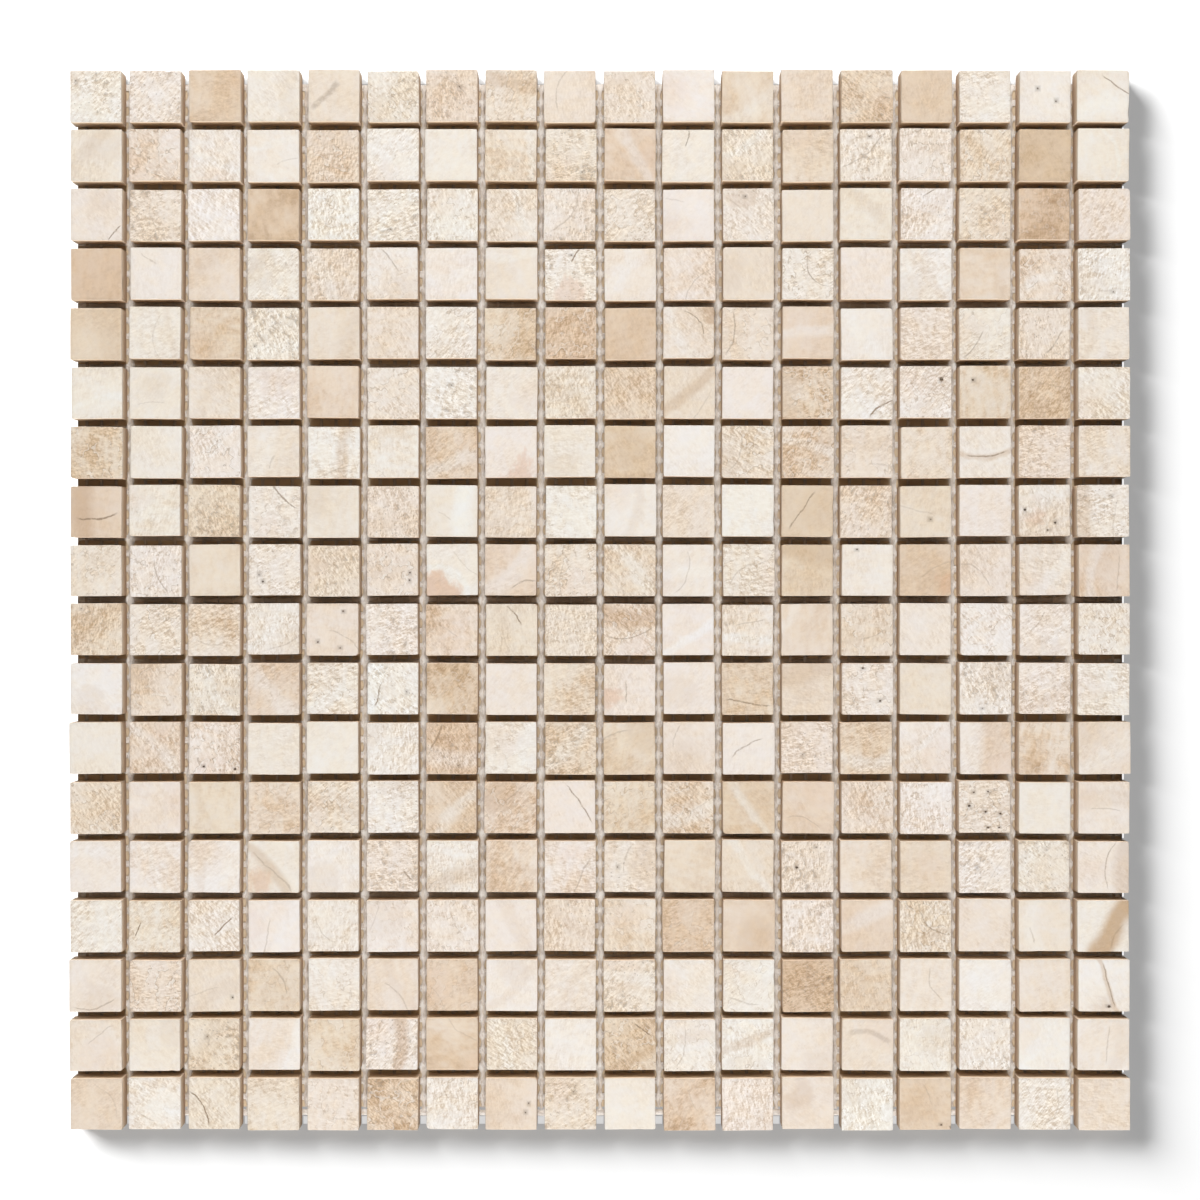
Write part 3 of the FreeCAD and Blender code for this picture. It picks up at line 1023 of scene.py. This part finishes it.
def makeWarp(yarn):
    hand = random.Random(netShape["warpSeed"])
    wefts = sorted(points[:, 1].mean() for points in solidsOf("mesh_weft"))
    pitch = (wefts[-1] - wefts[0]) / (len(wefts) - 1)
    stores = {"over": newStore(), "under": newStore()}
    for points in solidsOf("mesh_warp"):
        middle = points[:, 0].mean()
        bare = abs(offJoint(middle)) < netShape["bareWithin"]
        low = points[:, 1].min() + hand.uniform(*netShape["bottomEnd"])
        high = points[:, 1].max() - hand.uniform(0, netShape["frayed"])
        inner = np.arange(wefts[0], wefts[-1] + 1e-6, pitch / netShape["warpRings"][bare])
        y = np.concatenate([[low], inner[(inner > low) & (inner < high)], [high]])
        phase = (y - wefts[0]) / pitch
        drift = waveAlong(y, netShape["warpDrift"], hand)
        swing = netShape["bareSway" if bare else "warpSway"] * np.cos(math.pi * phase)
        rise = (1 - np.cos(2 * math.pi * phase)) / 2
        knot = np.exp(-(offJoint(y) * netShape["jointPitch"] / netShape["knotReach"]) ** 2) * bare
        if bare:
            soaked = hand.uniform(*netShape["bareSoaked"])
            soaked = np.clip(soaked + netShape["bandSoaked"] * rise + netShape["knotSoaked"] * knot, 0, 1)
        else:
            soaked = hand.uniform(*netShape["warpSoaked"])
        swell = netShape["bead"] * (1 - 2 * rise) * bare + netShape["knot"] * knot
        for side, sign, level in (("over", 1, "warpHigh"), ("under", -1, "warpLow")):
            height = netShape[level][0] + netShape[level][1] * rise
            path = np.column_stack([middle + drift + sign * swing, y, height])
            widths = netShape["bareYarn"] if bare else netShape["warpYarn"][0]
            widths = widths * (1 + swell + waveAlong(y, netShape["warpSwell"], hand))
            addYarn(stores[side], path, widths, netShape["warpYarn"][1], (1, 0, 0), 1, soaked, hand)
    for side, store in stores.items():
        piece = yarnPiece("mesh_warp_" + side, store, yarn)
        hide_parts("mesh_warp")


def makeWeft(yarn):
    hand = random.Random(netShape["weftSeed"])
    store = newStore()
    for points in solidsOf("mesh_weft"):
        middle = points[:, 1].mean()
        width = points[:, 1].max() - points[:, 1].min()
        low = points[:, 0].min() + hand.uniform(0, netShape["frayed"])
        high = points[:, 0].max() - hand.uniform(0, netShape["frayed"])
        x = np.linspace(low, high, int((high - low) / netShape["weftStep"]))
        drift = waveAlong(x, netShape["weftDrift"], hand)
        widths = width * (netShape["weftShare"] + waveAlong(x, netShape["weftSwell"], hand))
        path = np.column_stack([x, middle + drift, np.full(len(x), netShape["weftHeight"])])
        toEnd = np.minimum(x - low, high - x) / netShape["bareEnd"]
        inJoint = np.exp(-(offJoint(x) * netShape["jointPitch"] / netShape["bareEnd"]) ** 2)
        soaked = hand.uniform(*netShape["weftSoaked"]) * np.clip(toEnd - 0.5, 0, 1)
        soaked = soaked * (1 - netShape["weftBared"] * inJoint)
        addYarn(store, path, widths, netShape["weftThick"], (0, 1, 0), 0, soaked, hand)
    piece = yarnPiece("mesh_weft_bands", store, yarn)
    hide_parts("mesh_weft")


# Floor, lamps and world. The lamps at the two ends shine along the joints that run up the sheet, and the
# corner lamp throws the sheet's soft shadow on the floor.
studio = {
    "floorColour": (0.30, 0.30, 0.30, 1),
    "floorHalf": 3,
    "floorDrop": 0.05 * mm,
    "floorGlow": (0.35, 1.0),  # seen by the camera only, near the sheet and far from it
    "glowBetween": (0.4, 1.2),
    "mottleScale": 60.0,
    "mottle": (0.985, 1.0),
    "matColour": (0.70, 0.56, 0.39, 1),
    "matInset": (0.9 * mm, 5.4 * mm, 3.0 * mm),  # at the two sides, at the foot and at the top of the sheet
    "notchGlow": (1.0, 0.65),  # the floor past the ends of the joints, at the two sides, and top and bottom
    "notchPlace": (150.8 * mm, 1.1 * mm),  # from the middle of the sheet, and how far either way
    "notchHalf": 0.060,        # half its width, in joint pitches
    "notchesWithin": 8.5,      # joint pitches from the middle of the sheet
    "lampDistance": 1.3,
    "endElevation": 34,
    "endDepth": 0.40,
    "narrowWidth": 0.24,
    "narrowPower": 9.95,
    "wideWidth": 0.9,
    "widePower": 5.86,
    "cornerDistance": 2.2,
    "cornerAzimuth": 140,
    "cornerElevation": 25,
    "cornerSize": 1.40,
    "cornerPower": 397.0,
    "worldFill": 0.010,
}


def notchMask(tree, place, other):
    # the short stretch of floor past the end of each joint
    end = maths(tree, "COMPARE", maths(tree, "ABSOLUTE", place), *studio["notchPlace"])
    steps = maths(tree, "DIVIDE", other, netShape["jointPitch"])
    away = maths(tree, "ABSOLUTE", maths(tree, "SUBTRACT", steps, maths(tree, "ROUND", steps)))
    inside = maths(tree, "LESS_THAN", maths(tree, "ABSOLUTE", steps), studio["notchesWithin"])
    inLine = times(tree, maths(tree, "LESS_THAN", away, studio["notchHalf"]), inside)
    return times(tree, end, inLine)


def floorMaterial(name, colour, glow, notchGlow):
    # glow is the plate's own brightness near the sheet and far from it
    tree = startMaterial(name)
    place = newNode(tree, "ShaderNodeTexCoord").outputs["Object"]
    away = newNode(tree, "ShaderNodeVectorMath", {0: place}, operation="LENGTH").outputs["Value"]
    strength = smoothBetween(tree, away, *studio["glowBetween"], *glow)
    x, y, _ = partsOf(tree, place)
    for along, other, power in ((x, y, notchGlow[0]), (y, x, notchGlow[1])):
        strength = maths(tree, "MAXIMUM", strength, times(tree, notchMask(tree, along, other), power))
    mottle = noiseOf(tree, place, studio["mottleScale"], 3.0)
    mottle = smoothBetween(tree, mottle, 0.3, 0.7, *studio["mottle"])
    shade = mixColour(tree, 1.0, colour, greyOf(tree, mottle), "MULTIPLY")
    diffuse = newNode(tree, "ShaderNodeBsdfDiffuse", {"Color": shade})
    light = newNode(tree, "ShaderNodeEmission", {"Color": (1, 1, 1, 1), "Strength": strength})
    dark = newNode(tree, "ShaderNodeEmission", {"Strength": 0.0})
    seen = newNode(tree, "ShaderNodeMixShader", {0: seenDirectly(tree), 1: dark.outputs[0],
                                                 2: light.outputs[0]})
    both = newNode(tree, "ShaderNodeAddShader", {0: diffuse.outputs[0], 1: seen.outputs[0]})
    out = newNode(tree, "ShaderNodeOutputMaterial")
    tree.links.new(both.outputs[0], out.inputs["Surface"])
    return bpy.data.materials[name]


def seenDirectly(tree):
    path = newNode(tree, "ShaderNodeLightPath")
    seen = maths(tree, "MAXIMUM", path.outputs["Is Camera Ray"], path.outputs["Is Glossy Ray"])
    return maths(tree, "MAXIMUM", seen, path.outputs["Is Transmission Ray"])


def addPlate(name, low, high, z, material):
    mesh = bpy.data.meshes.new(name)
    corners = [(low[0], low[1], z), (high[0], low[1], z), (high[0], high[1], z), (low[0], high[1], z)]
    mesh.from_pydata(corners, [], [(0, 1, 2, 3)])
    mesh.materials.append(material)
    plate = bpy.data.objects.new(name, mesh)
    bpy.context.scene.collection.objects.link(plate)
    return plate


def addLamp(name, reach, azimuth, elevation, width, depth, power):
    data = bpy.data.lights.new(name, "AREA")
    data.shape = "RECTANGLE"
    data.size = width
    data.size_y = depth
    data.energy = power
    lamp = bpy.data.objects.new(name, data)
    around, up = math.radians(azimuth), math.radians(elevation)
    level = reach * math.cos(up)
    lamp.location = (level * math.cos(around), level * math.sin(around), reach * math.sin(up))
    lamp.rotation_euler = (math.pi / 2 - up, 0, around + math.pi / 2)
    bpy.context.scene.collection.objects.link(lamp)
    return lamp


def lightOnly(lamp, thing, state):
    # INCLUDE lights this thing alone, EXCLUDE lights everything else
    group = bpy.data.collections.new(lamp.name + "Reach")
    group.objects.link(thing)
    lamp.light_linking.receiver_collection = group
    group.collection_objects[0].light_linking.link_state = state


def addStudio():
    low, high = cadBounds
    half = studio["floorHalf"]
    paleFloor = floorMaterial("paleFloor", studio["floorColour"], studio["floorGlow"], studio["notchGlow"])
    paleMat = floorMaterial("paleMat", studio["matColour"], (0.0, 0.0), (0.0, 0.0))
    floor = addPlate("floor", (-half, -half), (half, half), -studio["floorDrop"], paleFloor)
    side, foot, head = studio["matInset"]
    addPlate("matUnderSheet", (low[0] + side, low[1] + foot), (high[0] - side, high[1] - head), 0.0, paleMat)
    for end, azimuth in (("Top", 90), ("Bottom", -90)):
        for kind in ("narrow", "wide"):
            lamp = addLamp(kind + end, studio["lampDistance"], azimuth, studio["endElevation"],
                           studio[kind + "Width"], studio["endDepth"], studio[kind + "Power"])
            lightOnly(lamp, floor, "EXCLUDE")
    corner = addLamp("corner", studio["cornerDistance"], studio["cornerAzimuth"], studio["cornerElevation"],
                     studio["cornerSize"], studio["cornerSize"], studio["cornerPower"])
    lightOnly(corner, floor, "INCLUDE")
    world = bpy.data.worlds.new("paleRoom")
    bpy.context.scene.world = world
    world.use_nodes = True
    tree = world.node_tree
    tree.nodes.clear()
    strength = maths(tree, "MAXIMUM", seenDirectly(tree), studio["worldFill"])
    back = newNode(tree, "ShaderNodeBackground", {"Color": (1, 1, 1, 1), "Strength": strength})
    out = newNode(tree, "ShaderNodeOutputWorld")
    tree.links.new(back.outputs[0], out.inputs["Surface"])
    bpy.context.scene.view_settings.view_transform = "Standard"


addCamera()
addStudio()
print("camera, floor and lamps are set")
marble = makeMarble()
yarn = makeYarn()
print("marble and yarn materials are made")
rowCount = sum(node.startswith("tile_row_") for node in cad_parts)
for number in range(1, rowCount + 1):
    makeTileRow(number, marble)
print(rowCount, "rows of chips are cut and laid")
makeWarp(yarn)
makeWeft(yarn)
print("the backing mesh is woven")
